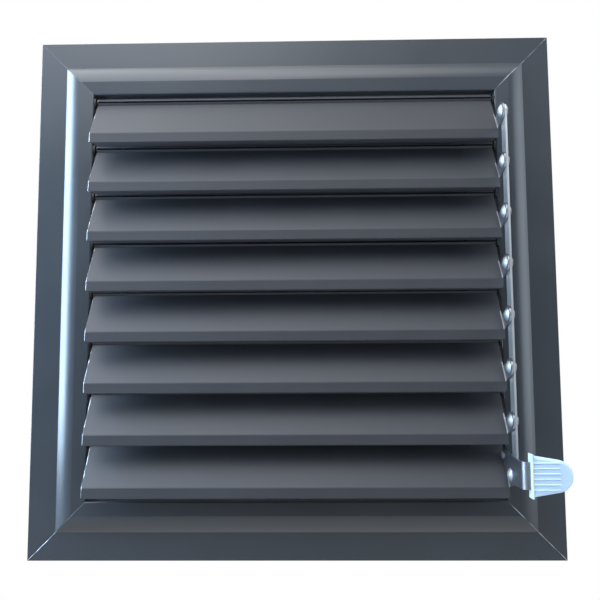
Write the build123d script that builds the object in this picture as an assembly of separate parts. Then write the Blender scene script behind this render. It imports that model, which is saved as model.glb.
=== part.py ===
from build123d import *
import os
from math import cos, radians, sin, sqrt

# Wall grille with movable blades, in millimetres.
# X runs along the blades, the room is towards -Y and Z is up. The origin is the middle
# of the opening on the wall plane, where the back of the flange lies.

# Opening, between the inner faces of the neck
opening_width = 313.0
blade_count = 8
blade_pitch = 37.65
top_pivot_drop = 5.5
bottom_pivot_rise = 43.95

# Frame extrusion: flange, bullnose, flat band and neck
flange_width = 20.5
flange_thick = 2.0
bullnose_width = 12.6
bullnose_rise = 4.5
band_width = 10.4
band_fall = 0.6
rim_radius = 1.0
frame_wall = 1.6
neck_depth = 38.0
mitre_gap = 0.06

# Corner keys and the channel behind the moulding that holds them
key_width = 8.0
key_thick = 2.4
key_leg = 30.0
key_inset = 3.3
key_seat = 0.6
key_clear = 0.1
rib_thick = 1.1
rib_lip = 1.5

# Screw holes through the sides of the neck
fixing_radius = 2.25
fixing_spacing = 200.0
fixing_setback = 10.0

# Blade section, in the half-open position with the web falling to the room
web_tilt = 56.0
web_length = 37.8
lip_bend = 30.0
lip_height = 7.2
return_bend = 96.0
return_width = 9.4
return_setback = 3.0
blade_sheet = 1.2
blade_bend_radius = 1.6
bead_radius = 3.5
bead_slot = 1.4
bead_slot_fall = 5.0
blade_end_gap = 2.5

# Pivots: pins in the blade's tube, turning in bushes in the neck
pivot_setback = -1.2
pin_radius = 2.0
pin_grip = 20.0
pin_clear = 0.05
bush_wall = 1.2
bush_collar_radius = 4.5
bush_collar_thick = 1.2
bush_tail = 1.2

# Ears, link bar and rivets
ear_thick = 1.2
ear_radius = 6.5
ear_reach = 34.2
ear_height = 13.2
ear_root = 24.5
ear_nose = 37.0
link_width = 10.0
link_thick = 1.5
link_gap = 0.3
rivet_radius = 2.0
rivet_clear = 0.08
rivet_head_radius = 4.7
rivet_head_height = 2.2
rivet_head_gap = 0.15
rivet_tail_radius = 3.2
rivet_tail_height = 1.4

# Lever on the bottom blade
lever_thick = 1.5
lever_width = 18.0
lever_reach = 59.0
lever_drop = 17.4
lever_bend_radius = 3.8
lever_straight = 6.0
lever_eye_radius = 6.5
lever_tail_reach = 12.0
lever_tail_drop = 9.5
lever_tail_radius = 4.0
lever_rivet_radius = 1.6
lever_rivet_head_radius = 3.0
lever_rivet_head_height = 0.9

# Knob pushed onto the end of the lever
knob_lead = 3.6
knob_length = 27.5
knob_base_height = 27.2
knob_tip_radius = 10.6
knob_thick = 8.0
knob_round = 2.0
knob_rim_height = 29.2
knob_rim_depth = 9.0
knob_rim_thick = 1.2
knob_rim_round = 0.5
knob_socket = 14.0
knob_fit = 0.05
rib_count = 6
rib_pitch = 3.5
rib_radius = 0.6
rib_length = 18.0

# Sizes that follow from the ones above
opening_height = top_pivot_drop + blade_pitch * (blade_count - 1) + bottom_pivot_rise
profile_width = flange_width + bullnose_width + band_width
frame_width = opening_width + 2 * profile_width
frame_height = opening_height + 2 * profile_width
moulding_front = -(flange_thick + bullnose_rise)
blade_end = opening_width / 2 - blade_end_gap
pivot_heights = [opening_height / 2 - top_pivot_drop - blade_pitch * i for i in range(blade_count)]
bush_radius = pin_radius + pin_clear + bush_wall
bush_outer = opening_width / 2 + frame_wall + bush_tail
ear_outside = blade_end + ear_thick
link_face = ear_outside + link_gap
key_front = moulding_front + frame_wall + key_seat
key_line = flange_width + bullnose_width + key_inset


def falling(angle):
    """Unit vector in the blade's section that points to the room and falls by an angle."""
    return Vector(-cos(radians(angle)), -sin(radians(angle)))


web_way = falling(web_tilt)
web_normal = falling(web_tilt - 90)
rivet_spot = web_way * ear_reach + web_normal * ear_height
tail_spot = Vector(-lever_tail_reach, -lever_tail_drop)


def frame_profile():
    """Section of the extrusion: x inward from the outer edge, y back from the wall plane."""
    crest = flange_width + bullnose_width
    arc_radius = (bullnose_width**2 + bullnose_rise**2) / (2 * bullnose_rise)
    hollow_run = sqrt((arc_radius - frame_wall) ** 2 - (arc_radius + moulding_front) ** 2)
    front = make_face(
        [
            Polyline((profile_width, 0), (0, 0), (0, -flange_thick), (flange_width, -flange_thick)),
            TangentArc((crest, moulding_front), (flange_width, -flange_thick), tangent=(-1, 0)),
            FilletPolyline(
                (crest, moulding_front),
                (profile_width, moulding_front + band_fall),
                (profile_width, 0),
                radius=rim_radius,
            ),
        ]
    )
    hollow_side = profile_width - frame_wall
    hollow = make_face(
        [
            Polyline(
                (crest, moulding_front + frame_wall),
                (hollow_side, moulding_front + frame_wall + band_fall),
                (hollow_side, 0),
                (crest - hollow_run, 0),
            ),
            TangentArc((crest, moulding_front + frame_wall), (crest - hollow_run, 0), tangent=(-1, 0)),
        ]
    )
    neck = Pos(hollow_side, 0) * Rectangle(frame_wall, neck_depth, align=Align.MIN)
    profile = front - hollow + neck
    lip_front = key_front + key_thick + key_clear
    for side in (-1, 1):
        rib = Pos(key_line + side * (key_width / 2 + key_clear + rib_thick / 2), moulding_front)
        rib *= Rectangle(rib_thick, lip_front + rib_thick - moulding_front, align=(Align.CENTER, Align.MIN))
        lip = Pos(key_line + side * (key_width / 2 + key_clear - rib_lip / 2), lip_front)
        lip *= Rectangle(rib_lip, rib_thick, align=(Align.CENTER, Align.MIN))
        profile += (rib & front) + lip
    return profile


def mitred_bar(length, reach):
    """One side of the frame, laid along X at height reach, with both ends cut at 45 degrees."""
    section = Plane((-length / 2, 0, reach), x_dir=(0, 0, -1), z_dir=(1, 0, 0)) * frame_profile()
    bar = extrude(section, length)
    depth = profile_width + frame_wall
    outer = length / 2 - mitre_gap / sqrt(2)
    inner = outer - depth
    kept = Polygon((-outer, reach), (-inner, reach - depth), (inner, reach - depth), (outer, reach), align=None)
    return bar & extrude(Plane.XZ * kept, amount=neck_depth + bullnose_rise + flange_thick, both=True)


def cross_hole(radius, x_from, x_to, y, z):
    """Round bar along X, for a hole, a pin or a bush."""
    return Pos((x_from + x_to) / 2, y, z) * Rot(0, 90, 0) * Cylinder(radius, abs(x_to - x_from))


def side_bar(side):
    """Left (-1) or right (1) bar, with its pivot and screw holes."""
    bar = Rot(0, 90 * side, 0) * mitred_bar(frame_height, frame_width / 2)
    inside = side * (opening_width / 2 - frame_wall)
    outside = side * bush_outer
    for z in pivot_heights:
        bar -= cross_hole(bush_radius, inside, outside, pivot_setback, z)
    for z in (-fixing_spacing / 2, fixing_spacing / 2):
        bar -= cross_hole(fixing_radius, inside, outside, neck_depth - fixing_setback, z)
    return bar


def corner_key(side_x, side_z):
    """L-shaped key with one leg in each of two neighbouring channels."""
    leg = Rectangle(key_leg, key_width, align=(Align.MAX, Align.CENTER))
    shape = Pos(key_width / 2, 0) * leg + Pos(0, key_width / 2) * Rot(0, 0, 90) * leg
    corner = Pos(frame_width / 2 - key_line, frame_height / 2 - key_line) * shape
    key = extrude(Plane((0, key_front, 0), x_dir=(1, 0, 0), z_dir=(0, -1, 0)) * corner, -key_thick)
    if side_x < 0:
        key = mirror(key, about=Plane.YZ)
    if side_z < 0:
        key = mirror(key, about=Plane.XY)
    return key


def round_at(spot, radius):
    """Edge of a circle in the blade's section."""
    return (Pos(spot) * Circle(radius)).edges()


def blade(carries_lever):
    """One blade about its pivot: tube, web, lip and return, with the ear at its right end."""
    crease = web_way * web_length
    lip_end = crease + falling(web_tilt + lip_bend) * lip_height
    return_end = lip_end + falling(web_tilt + lip_bend + return_bend) * return_width
    bead = Circle(bead_radius) - Circle(pin_radius)
    bead -= Rot(0, 0, 180 + bead_slot_fall) * Rectangle(2 * bead_radius, bead_slot, align=(Align.MIN, Align.CENTER))
    end_path = FilletPolyline((0, 0), crease, lip_end, radius=blade_bend_radius)
    path = FilletPolyline((0, 0), crease, lip_end, return_end, radius=blade_bend_radius)
    end_sheet = trace(end_path, line_width=blade_sheet) - Circle(pin_radius)
    sheet = trace(path, line_width=blade_sheet) - Circle(pin_radius)
    body = extrude(Plane.YZ * (bead + end_sheet), blade_end, both=True)
    body += extrude(Plane.YZ * sheet, blade_end - return_setback, both=True)
    rim = round_at(rivet_spot, ear_radius) + [Line(web_way * ear_root, web_way * ear_nose).edge()]
    if carries_lever:
        rim += round_at(tail_spot, lever_tail_radius)
    ear = make_hull(rim) - Pos(rivet_spot) * Circle(rivet_radius + rivet_clear)
    ear -= Circle(bead_radius)
    if carries_lever:
        ear -= Pos(tail_spot) * Circle(lever_rivet_radius)
    return body + extrude(Plane.YZ.offset(blade_end) * ear, ear_thick)


def pivot_pair(z):
    """Steel pins in the two ends of one blade's tube."""
    tip = bush_outer
    root = blade_end - pin_grip
    return [cross_hole(pin_radius, side * root, side * tip, pivot_setback, z) for side in (-1, 1)]


def pivot_bush(side, z):
    """Collared bush in the neck wall, bored for the pin."""
    inner = opening_width / 2
    bush = cross_hole(bush_radius, side * inner, side * bush_outer, pivot_setback, z)
    bush += cross_hole(bush_collar_radius, side * (inner - bush_collar_thick), side * inner, pivot_setback, z)
    return bush - cross_hole(pin_radius + pin_clear, side * (inner - 2 * bush_collar_thick),
                             side * (bush_outer + bush_tail), pivot_setback, z)


def dome_rivet(head_face, spot):
    """Dome-head rivet along X: head to the left, tail spread against the link bar."""
    back = link_face + link_thick
    end = back + rivet_tail_height
    seat = head_face - rivet_head_gap
    apex = seat - rivet_head_height
    ball = (rivet_head_radius**2 + rivet_head_height**2) / (2 * rivet_head_height)
    half = make_face(
        [
            Polyline(
                (apex, 0),
                (end, 0),
                (end, rivet_tail_radius),
                (back, rivet_tail_radius),
                (back, rivet_radius),
                (seat, rivet_radius),
                (seat, rivet_head_radius),
            ),
            RadiusArc((seat, rivet_head_radius), (apex, 0), -ball),
        ]
    )
    return Pos(0, spot.X, spot.Y) * revolve(half, Axis.X)


def link_bar(spots):
    """Flat strip with round ends, drilled for every rivet."""
    run = (spots[0] - spots[-1]).length
    strip = Pos((spots[0] + spots[-1]) / 2) * Rot(0, 0, 90) * SlotCenterToCenter(run, link_width)
    for spot in spots:
        strip -= Pos(spot) * Circle(rivet_radius)
    return extrude(Plane.YZ.offset(link_face) * strip, link_thick)


def lever_arm():
    """Bent strip: tapered arm against the ear, then a leg to the right for the knob."""
    low = -lever_drop - lever_width / 2
    high = low + lever_width
    arm_front = -(lever_reach - lever_bend_radius - lever_straight)
    rim = round_at(rivet_spot, lever_eye_radius) + round_at(tail_spot, lever_tail_radius)
    rim += [Line((arm_front, low), (arm_front, high)).edge()]
    arm = make_hull(rim) - Pos(rivet_spot) * Circle(rivet_radius + rivet_clear)
    arm -= Pos(tail_spot) * Circle(lever_rivet_radius)
    arm_left = blade_end - lever_thick
    middle = blade_end - lever_thick / 2
    leg_end = blade_end + knob_lead + knob_socket
    path = FilletPolyline(
        (middle, arm_front), (middle, -lever_reach), (leg_end, -lever_reach), radius=lever_bend_radius
    )
    leg = extrude(Plane.XY.offset(low) * trace(path, line_width=lever_thick), lever_width)
    return extrude(Plane.YZ.offset(arm_left) * arm, lever_thick) + leg


def lever_rivet():
    """Flat rivet that pins the lever's tail to the ear."""
    left = blade_end - lever_thick
    y = tail_spot.X
    z = tail_spot.Y
    head = lever_rivet_head_height
    rivet = cross_hole(lever_rivet_radius, left, ear_outside, y, z)
    rivet += cross_hole(lever_rivet_head_radius, left - head, left, y, z)
    return rivet + cross_hole(lever_rivet_head_radius, ear_outside, ear_outside + head, y, z)


def lever_knob():
    """Tapered knob with a round tip, a rim at its base and ribs along both faces."""
    base = blade_end + knob_lead
    tip = base + knob_length - knob_tip_radius
    half = knob_base_height / 2
    outline = make_hull(
        (Pos(tip, 0) * Circle(knob_tip_radius)).edges() + [Line((base, -half), (base, half)).edge()]
    )
    body = extrude(Plane.XZ * outline, knob_thick / 2, both=True)
    long_edges = body.faces().sort_by(Axis.Y)[0].edges() + body.faces().sort_by(Axis.Y)[-1].edges()
    body = fillet(long_edges, knob_round)
    rim = Pos(base + knob_rim_thick / 2, 0, 0) * Box(knob_rim_thick, knob_rim_depth, knob_rim_height)
    rim = fillet(rim.edges(), knob_rim_round)
    knob = body + rim
    for face in (-1, 1):
        for i in range(rib_count):
            z = (i - (rib_count - 1) / 2) * rib_pitch
            y = face * knob_thick / 2
            knob += cross_hole(rib_radius, base + knob_rim_thick / 2, base + rib_length, y, z)
            knob += Pos(base + rib_length, y, z) * Sphere(rib_radius)
    socket = Box(
        knob_socket + knob_fit,
        lever_thick + 2 * knob_fit,
        lever_width + 2 * knob_fit,
        align=(Align.MIN, Align.CENTER, Align.CENTER),
    )
    return Pos(0, -lever_reach, -lever_drop) * (knob - Pos(base, 0, 0) * socket)


def at_pivot(piece, index):
    """A piece drawn about a blade's pivot, moved to that blade."""
    return Pos(0, pivot_setback, pivot_heights[index]) * piece


last = blade_count - 1
rivet_spots = [Vector(pivot_setback, z) + rivet_spot for z in pivot_heights]
parts = {
    "frame_top": mitred_bar(frame_width, frame_height / 2),
    "frame_bottom": Rot(0, 180, 0) * mitred_bar(frame_width, frame_height / 2),
    "frame_left": side_bar(-1),
    "frame_right": side_bar(1),
    "corner_key_top_left": corner_key(-1, 1),
    "corner_key_top_right": corner_key(1, 1),
    "corner_key_bottom_left": corner_key(-1, -1),
    "corner_key_bottom_right": corner_key(1, -1),
    "pivot_bushes_left": Compound([pivot_bush(-1, z).solid() for z in pivot_heights]),
    "pivot_bushes_right": Compound([pivot_bush(1, z).solid() for z in pivot_heights]),
    "link_bar": link_bar(rivet_spots),
    "lever_arm": at_pivot(lever_arm(), last),
    "lever_rivet": at_pivot(lever_rivet(), last),
    "lever_knob": at_pivot(lever_knob(), last),
}
rivets = [dome_rivet(blade_end, spot) for spot in rivet_spots[:last]]
rivets.append(dome_rivet(blade_end - lever_thick, rivet_spots[last]))
parts["link_rivets"] = Compound([rivet.solid() for rivet in rivets])
plain_blade = blade(False)
for i, z in enumerate(pivot_heights):
    parts[f"blade_{i + 1}"] = at_pivot(blade(True) if i == last else plain_blade, i)
    parts[f"pivot_pins_{i + 1}"] = Compound([pin.solid() for pin in pivot_pair(z)])

os.makedirs("parts", exist_ok=True)
for name, shape in parts.items():
    export_step(shape, f"parts/{name}.step")
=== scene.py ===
import math

import bmesh
import bpy
from mathutils import Euler, Matrix, Vector


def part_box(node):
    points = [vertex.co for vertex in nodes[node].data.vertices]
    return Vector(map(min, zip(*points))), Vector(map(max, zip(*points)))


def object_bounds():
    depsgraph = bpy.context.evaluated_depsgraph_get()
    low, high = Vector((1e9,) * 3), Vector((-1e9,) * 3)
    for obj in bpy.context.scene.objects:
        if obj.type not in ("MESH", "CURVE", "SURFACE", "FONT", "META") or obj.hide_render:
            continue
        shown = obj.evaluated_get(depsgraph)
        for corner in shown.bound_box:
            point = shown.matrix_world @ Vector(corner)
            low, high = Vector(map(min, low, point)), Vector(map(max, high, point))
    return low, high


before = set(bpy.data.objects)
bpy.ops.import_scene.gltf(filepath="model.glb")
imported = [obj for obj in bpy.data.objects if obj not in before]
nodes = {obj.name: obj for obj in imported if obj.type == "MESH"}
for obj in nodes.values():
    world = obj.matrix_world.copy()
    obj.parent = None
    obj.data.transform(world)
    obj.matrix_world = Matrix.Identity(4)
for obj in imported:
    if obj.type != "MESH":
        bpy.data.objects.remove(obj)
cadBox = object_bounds()
scene = bpy.context.scene
print("frame loaded:", len(nodes), "nodes")

mm = 0.001


def hexColour(text):
    values = [int(text[i:i + 2], 16) / 255 for i in (1, 3, 5)]
    return [v / 12.92 if v <= 0.04045 else ((v + 0.055) / 1.055) ** 2.4 for v in values] + [1.0]


def addNode(tree, kind, settings=None, links=None):
    node = tree.nodes.new(kind)
    for key, value in (settings or {}).items():
        if isinstance(key, int) or key in node.inputs:
            node.inputs[key].default_value = value
        else:
            setattr(node, key, value)
    for key, source in (links or {}).items():
        tree.links.new(source, node.inputs[key])
    return node


def newMaterial(name):
    material = bpy.data.materials.new(name)
    material.use_nodes = True
    tree = material.node_tree
    shader = tree.nodes["Principled BSDF"]
    place = addNode(tree, "ShaderNodeTexCoord").outputs["Object"]
    return material, tree, shader, place


def dress(names, material):
    for name in names:
        for slot in nodes[name].material_slots:
            slot.material = material


# Frame: aluminium extrusion, satin anthracite powder coat, cut to its mitres after coating.
frameLook = {
    "coat": "#2E343A",
    "coatLight": "#333A42",
    "bare": "#A3A9AE",
    "bareRoughness": 0.35,
    "roughness": 0.32,
    "drift": 0.03,
    "specular": 0.62,
    "peelSize": 1.6 * mm,
    "peelDepth": 0.010 * mm,
    "cloudSize": 60 * mm,
    "seamWidth": 0.45 * mm,
    "chipSize": 7 * mm,
    "chipSpan": (0.35, 0.65),
    "seamTop": (0.0, 1.3),
    "seamInner": 178.0 * mm,
    "edgeRound": 0.5 * mm,
}
noiseSpan = (0.3, 0.7)


def satinPowderCoat(name, look):
    material, tree, shader, place = newMaterial(name)
    # Melted powder: even satin gloss, a faint orange peel, and slow drifts in shade.
    peel = addNode(tree, "ShaderNodeTexNoise",
                   {"Scale": 1 / look["peelSize"], "Detail": 2.0}, {"Vector": place})
    cloud = addNode(tree, "ShaderNodeTexNoise",
                    {"Scale": 1 / look["cloudSize"], "Detail": 3.0}, {"Vector": place})
    rounded = addNode(tree, "ShaderNodeBevel", {"samples": 6, "Radius": look["edgeRound"]})
    bump = addNode(tree, "ShaderNodeBump", {"Strength": 1.0, "Distance": look["peelDepth"]},
                   {"Height": peel.outputs["Fac"], "Normal": rounded.outputs["Normal"]})
    tree.links.new(bump.outputs["Normal"], shader.inputs["Normal"])
    shader.inputs["Specular IOR Level"].default_value = look["specular"]
    coat = addNode(tree, "ShaderNodeMix",
                   {"data_type": "RGBA", 6: hexColour(look["coat"]), 7: hexColour(look["coatLight"])},
                   {0: cloud.outputs["Fac"]})
    gloss = addNode(tree, "ShaderNodeMapRange",
                    {"From Min": noiseSpan[0], "From Max": noiseSpan[1],
                     "To Min": look["roughness"] - look["drift"],
                     "To Max": look["roughness"] + look["drift"]},
                    {"Value": cloud.outputs["Fac"]})
    return material, tree, shader, place, coat.outputs[2], gloss.outputs["Result"]


def bareMix(tree, shader, mask, coat, gloss, look):
    colour = addNode(tree, "ShaderNodeMix",
                     {"data_type": "RGBA", 7: hexColour(look["bare"])}, {0: mask, 6: coat})
    rough = addNode(tree, "ShaderNodeMix",
                    {"data_type": "FLOAT", 3: look["bareRoughness"]}, {0: mask, 2: gloss})
    tree.links.new(colour.outputs[2], shader.inputs["Base Color"])
    tree.links.new(rough.outputs[0], shader.inputs["Roughness"])
    tree.links.new(mask, shader.inputs["Metallic"])


def frameMaterial():
    look = frameLook
    material, tree, shader, place, coat, gloss = satinPowderCoat("satin powder coat, frame", look)
    # Saw cut along each mitre: the coat stops short and a thread of bare metal shows, broken by chips.
    parts = addNode(tree, "ShaderNodeSeparateXYZ", {}, {"Vector": place})
    across = addNode(tree, "ShaderNodeMath", {"operation": "ABSOLUTE"}, {0: parts.outputs["X"]})
    upward = addNode(tree, "ShaderNodeMath", {"operation": "ABSOLUTE"}, {0: parts.outputs["Z"]})
    offset = addNode(tree, "ShaderNodeMath", {"operation": "SUBTRACT"},
                     {0: across.outputs[0], 1: upward.outputs[0]})
    away = addNode(tree, "ShaderNodeMath", {"operation": "ABSOLUTE"}, {0: offset.outputs[0]})
    chips = addNode(tree, "ShaderNodeTexNoise",
                    {"Scale": 1 / look["chipSize"], "Detail": 2.0}, {"Vector": place})
    reach = addNode(tree, "ShaderNodeMapRange",
                    {"From Min": look["chipSpan"][0], "From Max": look["chipSpan"][1],
                     "To Min": 0.0, "To Max": look["seamWidth"]},
                    {"Value": chips.outputs["Fac"]})
    # The lower mitres and the upper right one are open furthest; on the left only the flat border shows it.
    topWorn = addNode(tree, "ShaderNodeMapRange",
                      {"From Min": cadBox[0].x, "From Max": cadBox[1].x,
                       "To Min": look["seamTop"][0], "To Max": look["seamTop"][1]},
                      {"Value": parts.outputs["X"]})
    onTop = addNode(tree, "ShaderNodeMath", {"operation": "GREATER_THAN", 1: 0.0},
                    {0: parts.outputs["Z"]})
    worn = addNode(tree, "ShaderNodeMix", {"data_type": "FLOAT", 2: 1.0},
                   {0: onTop.outputs[0], 3: topWorn.outputs["Result"]})
    border = addNode(tree, "ShaderNodeMath", {"operation": "GREATER_THAN", 1: look["seamInner"]},
                     {0: across.outputs[0]})
    onRight = addNode(tree, "ShaderNodeMath", {"operation": "GREATER_THAN", 1: 0.0},
                      {0: parts.outputs["X"]})
    shown = addNode(tree, "ShaderNodeMath", {"operation": "MAXIMUM"},
                    {0: border.outputs[0], 1: onRight.outputs[0]})
    opened = addNode(tree, "ShaderNodeMath", {"operation": "MULTIPLY"},
                     {0: worn.outputs[0], 1: shown.outputs[0]})
    width = addNode(tree, "ShaderNodeMath", {"operation": "MULTIPLY"},
                    {0: reach.outputs["Result"], 1: opened.outputs[0]})
    mask = addNode(tree, "ShaderNodeMath", {"operation": "LESS_THAN"},
                   {0: away.outputs[0], 1: width.outputs[0]})
    bareMix(tree, shader, mask.outputs[0], coat, gloss, look)
    return material


dress([n for n in nodes if n.startswith("frame_")], frameMaterial())
print("frame dressed")

# Blades: the same coat, a little warmer, with cut ends and punched ears left bare.
bladeLook = {
    "coat": "#36383D",
    "coatLight": "#3C3E43",
    "bare": "#9EA4AA",
    "bareRoughness": 0.35,
    "roughness": 0.46,
    "drift": 0.03,
    "specular": 0.3,
    "peelSize": 1.6 * mm,
    "peelDepth": 0.010 * mm,
    "cloudSize": 45 * mm,
    "edgeRound": 0.4 * mm,
    "endWidth": 0.3 * mm,
    "chipSize": 6 * mm,
    "chipSpan": (0.48, 0.66),
    "firstPivot": 151.0 * mm,
    "pitch": 37.65 * mm,
    "pivotDepth": -1.2 * mm,
    "webTilt": 56.0,
    "earRise": 0.5 * mm,
    "earDepth": 2 * mm,
    "earTop": -17.0 * mm,
    "lipTop": -30.0 * mm,
    "edgeFacing": 0.5,
}


def bladeMaterial():
    look = bladeLook
    material, tree, shader, place, coat, gloss = satinPowderCoat("satin powder coat, blades", look)
    low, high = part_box("blade_1")
    parts = addNode(tree, "ShaderNodeSeparateXYZ", {}, {"Vector": place})
    # Punched ear: its thin edge is bare. Height above the web picks the ear out from the rest of the blade.
    normal = addNode(tree, "ShaderNodeNewGeometry")
    facing = addNode(tree, "ShaderNodeSeparateXYZ", {}, {"Vector": normal.outputs["True Normal"]})
    sideways = addNode(tree, "ShaderNodeMath", {"operation": "ABSOLUTE"}, {0: facing.outputs["X"]})
    edge = addNode(tree, "ShaderNodeMath", {"operation": "LESS_THAN", 1: look["edgeFacing"]},
                   {0: sideways.outputs[0]})
    drop = addNode(tree, "ShaderNodeMath", {"operation": "SUBTRACT", 1: look["firstPivot"]},
                   {0: parts.outputs["Z"]})
    local = addNode(tree, "ShaderNodeMath", {"operation": "FLOORED_MODULO", 1: look["pitch"]},
                    {0: drop.outputs[0]})
    fall = addNode(tree, "ShaderNodeMath", {"operation": "SUBTRACT", 1: look["pitch"]},
                   {0: local.outputs[0]})
    tilt = math.radians(look["webTilt"] - 90)
    alongY = addNode(tree, "ShaderNodeMath", {"operation": "SUBTRACT", 1: look["pivotDepth"]},
                     {0: parts.outputs["Y"]})
    partY = addNode(tree, "ShaderNodeMath", {"operation": "MULTIPLY", 1: -math.cos(tilt)},
                    {0: alongY.outputs[0]})
    rise = addNode(tree, "ShaderNodeMath", {"operation": "MULTIPLY_ADD", 1: -math.sin(tilt)},
                   {0: fall.outputs[0], 2: partY.outputs[0]})
    onEar = addNode(tree, "ShaderNodeMath", {"operation": "GREATER_THAN", 1: look["earRise"]},
                    {0: rise.outputs[0]})
    nearEar = addNode(tree, "ShaderNodeMath",
                      {"operation": "GREATER_THAN", 1: high.x - look["earDepth"]},
                      {0: parts.outputs["X"]})
    earEdge = addNode(tree, "ShaderNodeMath", {"operation": "MULTIPLY"},
                      {0: onEar.outputs[0], 1: nearEar.outputs[0]})
    bareEar = addNode(tree, "ShaderNodeMath", {"operation": "MULTIPLY"},
                      {0: earEdge.outputs[0], 1: edge.outputs[0]})
    lowEar = addNode(tree, "ShaderNodeMath", {"operation": "LESS_THAN", 1: look["earTop"]},
                     {0: fall.outputs[0]})
    earCut = addNode(tree, "ShaderNodeMath", {"operation": "MULTIPLY"},
                     {0: bareEar.outputs[0], 1: lowEar.outputs[0]})
    onLip = addNode(tree, "ShaderNodeMath", {"operation": "LESS_THAN", 1: look["lipTop"]},
                    {0: fall.outputs[0]})
    # Sawn left end: bare along the whole lip, and here and there along the sloping edge.
    chips = addNode(tree, "ShaderNodeTexNoise",
                    {"Scale": 1 / look["chipSize"], "Detail": 2.0}, {"Vector": place})
    chipped = addNode(tree, "ShaderNodeMapRange",
                      {"From Min": look["chipSpan"][0], "From Max": look["chipSpan"][1]},
                      {"Value": chips.outputs["Fac"]})
    bareEnd = addNode(tree, "ShaderNodeMath", {"operation": "MAXIMUM"},
                      {0: onLip.outputs[0], 1: chipped.outputs["Result"]})
    reach = addNode(tree, "ShaderNodeMath",
                    {"operation": "MULTIPLY_ADD", 1: look["endWidth"], 2: low.x},
                    {0: bareEnd.outputs[0]})
    leftEnd = addNode(tree, "ShaderNodeMath", {"operation": "LESS_THAN"},
                      {0: parts.outputs["X"], 1: reach.outputs[0]})
    mask = addNode(tree, "ShaderNodeMath", {"operation": "MAXIMUM"},
                   {0: leftEnd.outputs[0], 1: earCut.outputs[0]})
    bareMix(tree, shader, mask.outputs[0], coat, gloss, look)
    return material


dress([n for n in nodes if n.startswith("blade_")], bladeMaterial())
print("blades dressed")

# Bright metals: strip, rivets, lever, pins and keys. Grain is stretched along the working direction.
metalLook = {
    "link": {"colour": "#DDE2E7", "roughness": 0.40, "grain": 0.5 * mm,
             "stretch": (1, 1, 0.02), "depth": 0.010 * mm},
    "rivet": {"colour": "#A0A6AC", "roughness": 0.58, "grain": 0.8 * mm,
              "stretch": (1, 1, 1), "depth": 0.006 * mm},
    "lever": {"colour": "#8F959D", "roughness": 0.36, "grain": 0.6 * mm,
              "stretch": (1, 1, 0.04), "depth": 0.012 * mm},
    "pin": {"colour": "#3A3B3D", "roughness": 0.45, "grain": 0.4 * mm,
            "stretch": (0.05, 1, 1), "depth": 0.005 * mm},
    "key": {"colour": "#B6B9BB", "roughness": 0.42, "grain": 0.7 * mm,
            "stretch": (1, 1, 1), "depth": 0.010 * mm},
}
metalDrift = 0.06


def brightMetal(name, look):
    material, tree, shader, place = newMaterial(name)
    # Rolled or headed metal: fine lines along the working direction, and a gloss that drifts a little.
    scaled = addNode(tree, "ShaderNodeMapping", {"Scale": look["stretch"]}, {"Vector": place})
    lines = addNode(tree, "ShaderNodeTexNoise",
                    {"Scale": 1 / look["grain"], "Detail": 3.0}, {"Vector": scaled.outputs[0]})
    bump = addNode(tree, "ShaderNodeBump", {"Strength": 1.0, "Distance": look["depth"]},
                   {"Height": lines.outputs["Fac"]})
    gloss = addNode(tree, "ShaderNodeMapRange",
                    {"From Min": noiseSpan[0], "From Max": noiseSpan[1],
                     "To Min": look["roughness"] - metalDrift,
                     "To Max": look["roughness"] + metalDrift},
                    {"Value": lines.outputs["Fac"]})
    shader.inputs["Base Color"].default_value = hexColour(look["colour"])
    shader.inputs["Metallic"].default_value = 1.0
    tree.links.new(gloss.outputs["Result"], shader.inputs["Roughness"])
    tree.links.new(bump.outputs["Normal"], shader.inputs["Normal"])
    return material


dress(["link_bar"], brightMetal("mill aluminium strip", metalLook["link"]))
dress(["link_rivets", "lever_rivet"], brightMetal("headed aluminium rivet", metalLook["rivet"]))
dress(["lever_arm"], brightMetal("zinc plated lever strip", metalLook["lever"]))
dress([n for n in nodes if n.startswith("pivot_pins")],
      brightMetal("zinc plated pin", metalLook["pin"]))
dress([n for n in nodes if n.startswith("corner_key")],
      brightMetal("mill aluminium key", metalLook["key"]))
print("metal pieces dressed")

# Knob: moulded polypropylene, light blue, satin. The thin rim gets a greyer, darker tone, partly its own
# paler colour and partly painted shade. Bushes: black nylon.
knobLook = {"body": "#C2DFFD", "rim": "#BAD3D6", "roughness": 0.42, "grain": 0.9 * mm,
            "depth": 0.015 * mm, "rimWidth": 1.2 * mm, "rimFade": 0.6 * mm}
bushLook = {"colour": "#1C1C1D", "speck": "#262627", "speckSize": 4 * mm,
            "roughness": 0.5, "grain": 0.7 * mm, "depth": 0.01 * mm}


def mouldedPlastic(name, look):
    material, tree, shader, place = newMaterial(name)
    # Moulded skin: fine even grain and a soft sheen.
    grain = addNode(tree, "ShaderNodeTexNoise",
                    {"Scale": 1 / look["grain"], "Detail": 2.0}, {"Vector": place})
    bump = addNode(tree, "ShaderNodeBump", {"Strength": 1.0, "Distance": look["depth"]},
                   {"Height": grain.outputs["Fac"]})
    tree.links.new(bump.outputs["Normal"], shader.inputs["Normal"])
    shader.inputs["Roughness"].default_value = look["roughness"]
    return material, tree, shader, place


def knobMaterial():
    look = knobLook
    material, tree, shader, place = mouldedPlastic("moulded polypropylene, light blue", look)
    low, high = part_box("lever_knob")
    rimEnd = low.x + look["rimWidth"]
    parts = addNode(tree, "ShaderNodeSeparateXYZ", {}, {"Vector": place})
    # Rim tone near the base: the rim's own paler colour with painted shade in it, blending into the body
    # colour.
    pale = addNode(tree, "ShaderNodeMapRange",
                   {"From Min": rimEnd, "From Max": rimEnd + look["rimFade"]},
                   {"Value": parts.outputs["X"]})
    colour = addNode(tree, "ShaderNodeMix",
                     {"data_type": "RGBA", 6: hexColour(look["rim"]), 7: hexColour(look["body"])},
                     {0: pale.outputs["Result"]})
    tree.links.new(colour.outputs[2], shader.inputs["Base Color"])
    return material


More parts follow.
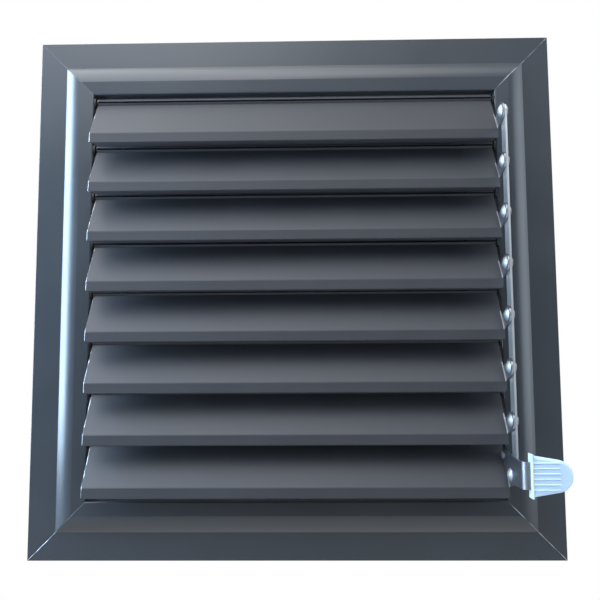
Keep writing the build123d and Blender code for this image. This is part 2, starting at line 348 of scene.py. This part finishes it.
def bushMaterial():
    look = bushLook
    material, tree, shader, place = mouldedPlastic("moulded nylon, black", look)
    speck = addNode(tree, "ShaderNodeTexNoise", {"Scale": 1 / look["speckSize"]}, {"Vector": place})
    colour = addNode(tree, "ShaderNodeMix",
                     {"data_type": "RGBA", 6: hexColour(look["colour"]), 7: hexColour(look["speck"])},
                     {0: speck.outputs["Fac"]})
    tree.links.new(colour.outputs[2], shader.inputs["Base Color"])
    return material


dress(["lever_knob"], knobMaterial())
dress(["pivot_bushes_left", "pivot_bushes_right"], bushMaterial())
print("plastic pieces dressed")

# Camera: the photograph was taken from just below the middle, a little to the right.
cameraPlace = {"place": (14.65, -535.5, -56.4), "turn": (-5.367, 1.092, -0.417),
               "focalPixels": 700.0, "imageSize": 600.0, "sensor": 36.0}


def addCamera():
    data = bpy.data.cameras.new("photo camera")
    data.sensor_width = cameraPlace["sensor"]
    data.lens = cameraPlace["focalPixels"] / cameraPlace["imageSize"] * cameraPlace["sensor"]
    camera = bpy.data.objects.new("photo camera", data)
    scene.collection.objects.link(camera)
    turn = Euler([math.radians(a) for a in cameraPlace["turn"]], "XYZ").to_matrix()
    level = Matrix(((1, 0, 0), (0, 0, -1), (0, 1, 0)))
    right, down, forward = turn @ level
    axes = Matrix((right, -down, -forward)).transposed().to_4x4()
    camera.matrix_world = Matrix.Translation(Vector(cameraPlace["place"]) * mm) @ axes
    scene.camera = camera


addCamera()
print("camera placed")

# Studio: white floor and backdrop, a tall window light at the left, soft light from above.
lightLook = {
    "window": {"place": (-0.62, -0.075, 0.12), "aim": (-0.18, 0.0, 0.08),
               "size": (0.36, 0.58), "power": 15.5, "tint": "#C4E3FF"},
    "ceiling": {"place": (-0.60, -0.45, 1.50), "aim": (0.0, 0.0, 0.0),
                "size": (3.4, 1.8), "power": 45.0, "tint": "#FFFFFF"},
    "high left": {"place": (-0.42, -0.33, 0.70), "aim": (0.0, 0.0, 0.0),
                  "size": (1.3, 0.8), "power": 7.0, "tint": "#F6F9FF"},
    "room": {"place": (0.15, -1.30, 0.85), "aim": (0.0, 0.0, 0.12),
             "size": (1.6, 0.7), "power": 1.8, "tint": "#F8FBFF"},
    "low": {"place": (0.0, -0.01, -0.80), "aim": (0.0, 0.0, -0.15),
            "size": (0.8, 0.06), "power": 0.2, "tint": "#FFFFFF"},
    "right": {"place": (0.75, -0.28, 0.12), "aim": (0.15, 0.0, 0.0),
              "size": (0.5, 0.7), "power": 3.4, "tint": "#E0EFFF"},
}
studioLook = {
    "floorHeight": -0.95,
    "floorBack": 1.9,
    "half": 3.0,
    "white": "#F7F7F7",
    "paper": "#FFFFFF",
    "paleSide": (0.0, 0.12),
    "paperLevel": 0.7,
    "wrap": (-0.7, 0.05),
    "frontPale": 0.2,
    "floorGlow": 0.8,
    "sheetRoughness": 0.9,
    "cardDepth": 39.5 * mm,
    "cardHalf": 158.0 * mm,
    "card": "#8E8F8B",
    "roomLow": 0.005,
    "roomHigh": 0.06,
    "roomSpan": (-0.5, 0.7),
}


def addLights():
    for name, look in lightLook.items():
        data = bpy.data.lights.new(name + " light", "AREA")
        data.shape = "RECTANGLE"
        data.size, data.size_y = look["size"]
        data.energy = look["power"]
        data.color = hexColour(look["tint"])[:3]
        lamp = bpy.data.objects.new(name + " light", data)
        scene.collection.objects.link(lamp)
        lamp.location = look["place"]
        beam = Vector(look["aim"]) - Vector(look["place"])
        lamp.rotation_euler = beam.to_track_quat("-Z", "Y").to_euler()


def addSheet(name, corners):
    shape = bmesh.new()
    shape.faces.new([shape.verts.new(corner) for corner in corners])
    mesh = bpy.data.meshes.new(name)
    shape.to_mesh(mesh)
    shape.free()
    sheet = bpy.data.objects.new(name, mesh)
    scene.collection.objects.link(sheet)
    material, tree, shader, place = newMaterial("matt " + name)
    shader.inputs["Roughness"].default_value = studioLook["sheetRoughness"]
    mesh.materials.append(material)
    return sheet, tree, shader


def seenWhite(tree):
    ray = addNode(tree, "ShaderNodeLightPath")
    mirrored = addNode(tree, "ShaderNodeMath", {"operation": "MAXIMUM"},
                       {0: ray.outputs["Is Glossy Ray"], 1: ray.outputs["Is Transmission Ray"]})
    seen = addNode(tree, "ShaderNodeMath", {"operation": "MAXIMUM"},
                   {0: ray.outputs["Is Camera Ray"], 1: mirrored.outputs[0]})
    return seen.outputs[0]


def addStudio():
    look = studioLook
    world = bpy.data.worlds.new("studio")
    world.use_nodes = True
    scene.world = world
    tree = world.node_tree
    background = tree.nodes["Background"]
    background.inputs["Color"].default_value = hexColour(look["paper"])
    # White paper behind the grille and grey in front, as the lens sees it and as metal and coat mirror it.
    # What lights the object is a dim room, lighter towards the ceiling, and the paper behind.
    way = addNode(tree, "ShaderNodeTexCoord").outputs["Generated"]
    parts = addNode(tree, "ShaderNodeSeparateXYZ", {}, {"Vector": way})
    room = addNode(tree, "ShaderNodeMapRange",
                   {"From Min": look["roomSpan"][0], "From Max": look["roomSpan"][1],
                    "To Min": look["roomLow"], "To Max": look["roomHigh"]},
                   {"Value": parts.outputs["Z"]})
    paper = addNode(tree, "ShaderNodeMapRange",
                    {"From Min": look["paleSide"][0], "From Max": look["paleSide"][1],
                     "To Max": look["paperLevel"]},
                    {"Value": parts.outputs["Y"]})
    dim = addNode(tree, "ShaderNodeMath", {"operation": "MAXIMUM"},
                  {0: room.outputs["Result"], 1: paper.outputs["Result"]})
    pale = addNode(tree, "ShaderNodeMapRange",
                   {"From Min": look["wrap"][0], "From Max": look["wrap"][1],
                    "To Min": look["frontPale"]},
                   {"Value": parts.outputs["Y"]})
    level = addNode(tree, "ShaderNodeMix", {"data_type": "FLOAT"},
                    {0: seenWhite(tree), 2: dim.outputs[0], 3: pale.outputs["Result"]})
    tree.links.new(level.outputs[0], background.inputs["Strength"])

    half, back, height = look["half"], look["floorBack"], look["floorHeight"]
    floor, tree, shader = addSheet("floor", ((-half, -half, height), (half, -half, height),
                                             (half, back, height), (-half, back, height)))
    shader.inputs["Base Color"].default_value = hexColour(look["white"])
    # The floor stays pale where the lamps don't reach, and keeps a part of the shadow.
    glow = addNode(tree, "ShaderNodeEmission", {"Color": hexColour(look["white"])})
    share = addNode(tree, "ShaderNodeMath", {"operation": "MULTIPLY", 1: look["floorGlow"]},
                    {0: seenWhite(tree)})
    mixed = addNode(tree, "ShaderNodeMixShader", {},
                    {0: share.outputs[0], 1: shader.outputs[0], 2: glow.outputs[0]})
    tree.links.new(mixed.outputs[0], tree.nodes["Material Output"].inputs["Surface"])

    # Card behind the neck, where a wall or duct would be: the slots look into shade. Its back lets
    # every ray through, so the grille can be seen from behind, and it stops no light.
    edge, depth = look["cardHalf"], look["cardDepth"]
    card, tree, shader = addSheet("card", ((-edge, depth, -edge), (edge, depth, -edge),
                                           (edge, depth, edge), (-edge, depth, edge)))
    shader.inputs["Base Color"].default_value = hexColour(look["card"])
    card.visible_diffuse = False
    card.visible_shadow = False
    side = addNode(tree, "ShaderNodeNewGeometry")
    clear = addNode(tree, "ShaderNodeBsdfTransparent")
    mixed = addNode(tree, "ShaderNodeMixShader", {},
                    {0: side.outputs["Backfacing"], 1: shader.outputs[0], 2: clear.outputs[0]})
    tree.links.new(mixed.outputs[0], tree.nodes["Material Output"].inputs["Surface"])


addLights()
addStudio()
scene.view_settings.view_transform = "Standard"
print("studio lit")
